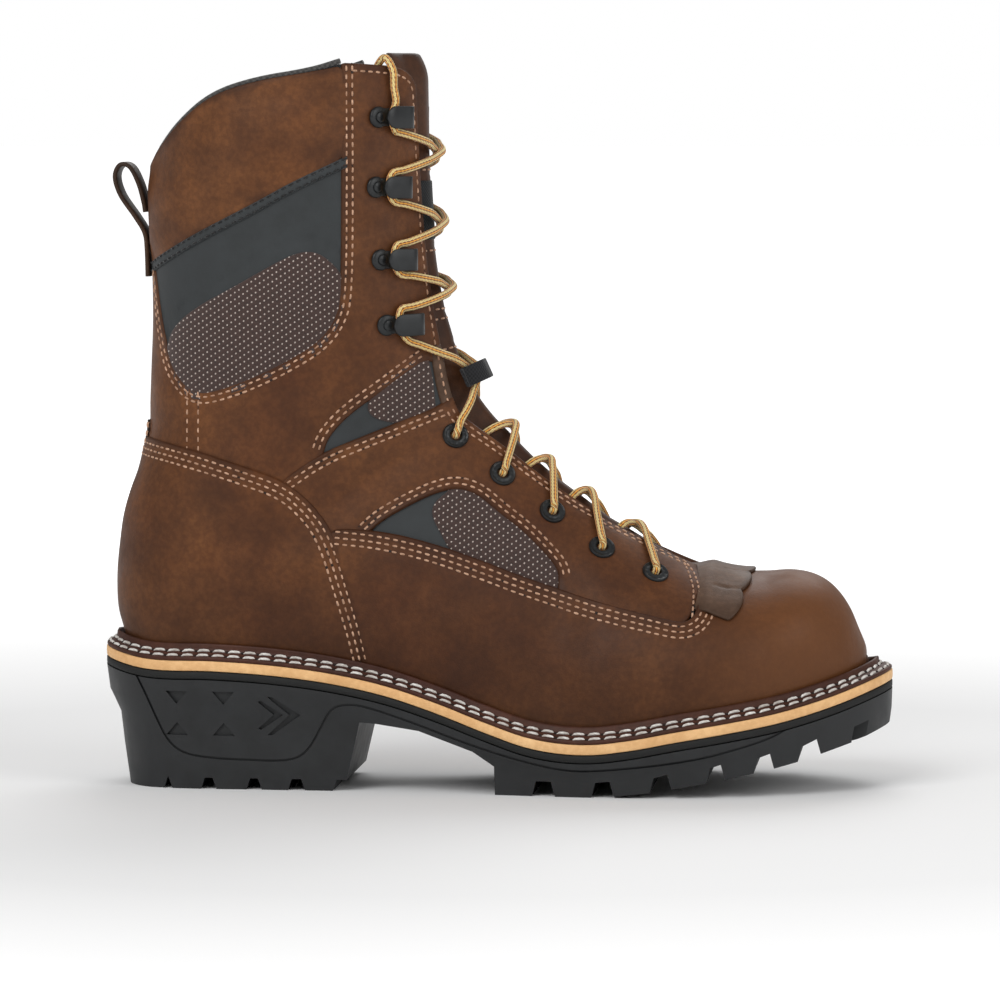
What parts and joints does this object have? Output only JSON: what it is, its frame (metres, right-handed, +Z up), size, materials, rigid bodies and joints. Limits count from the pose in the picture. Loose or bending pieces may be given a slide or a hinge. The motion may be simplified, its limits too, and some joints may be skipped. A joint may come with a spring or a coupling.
{
  "type": "logger boot",
  "caption": "High lace-up logger boot with hollow leather upper, speed hooks, storm welt and a high-heeled lug outsole.",
  "frame": {"origin": "on the floor, midway along the outsole's length and width", "axes": "+X toward the toe, +Y toward the medial side, +Z up"},
  "size_m": [0.316, 0.1119, 0.2933],
  "materials": {
    "base_textile": "dark woven textile with a leather backing",
    "brown_leather": "waxy brown leather, satin",
    "tongue_leather": "soft brown leather",
    "kiltie_leather": "greyish brown leather, matt",
    "welt_leather": "reddish brown welt, stitched",
    "tan_midsole": "tan, smooth edge",
    "black_foam": "matt black",
    "black_rubber": "matt charcoal rubber",
    "insole_foam": "textile over foam",
    "black_webbing": "woven webbing",
    "black_metal": "black coated metal, satin",
    "yellow_lace": "braided yellow lace with a dark red core line"
  },
  "bodies": {
    "root": {"collar_lateral": "brown_leather", "collar_medial": "brown_leather", "counter": "brown_leather", "eyelet_lateral_1": "black_metal", "eyelet_lateral_2": "black_metal", "eyelet_lateral_3": "black_metal", "eyelet_lateral_4": "black_metal", "eyelet_lateral_5": "black_metal", "eyelet_medial_1": "black_metal", "eyelet_medial_2": "black_metal", "eyelet_medial_3": "black_metal", "eyelet_medial_4": "black_metal", "eyelet_medial_5": "black_metal", "foam_layer": "black_foam", "hook_lateral_1": "black_metal", "hook_lateral_2": "black_metal", "hook_lateral_3": "black_metal", "hook_lateral_4": "black_metal", "hook_medial_1": "black_metal", "hook_medial_2": "black_metal", "hook_medial_3": "black_metal", "hook_medial_4": "black_metal", "insole": "insole_foam", "kiltie": "kiltie_leather", "lace_crossing_1": "yellow_lace", "lace_crossing_2": "yellow_lace", "lace_crossing_3": "yellow_lace", "lace_crossing_4": "yellow_lace", "lace_crossing_5": "yellow_lace", "lace_crossing_6": "yellow_lace", "lace_crossing_7": "yellow_lace", "lace_crossing_8": "yellow_lace", "lace_end_lateral": "yellow_lace", "lace_end_medial": "yellow_lace", "lace_keeper": "black_webbing", "midsole": "tan_midsole", "outsole": "black_rubber", "pull_loop": "black_webbing", "quarter_lateral": "brown_leather", "quarter_medial": "brown_leather", "shaft_lateral": "brown_leather", "shaft_medial": "brown_leather", "tongue": "tongue_leather", "upper_forefoot": "base_textile", "upper_heel": "base_textile", "upper_shaft": "base_textile", "vamp": "brown_leather", "welt": "welt_leather"}
  },
  "joints": []
}
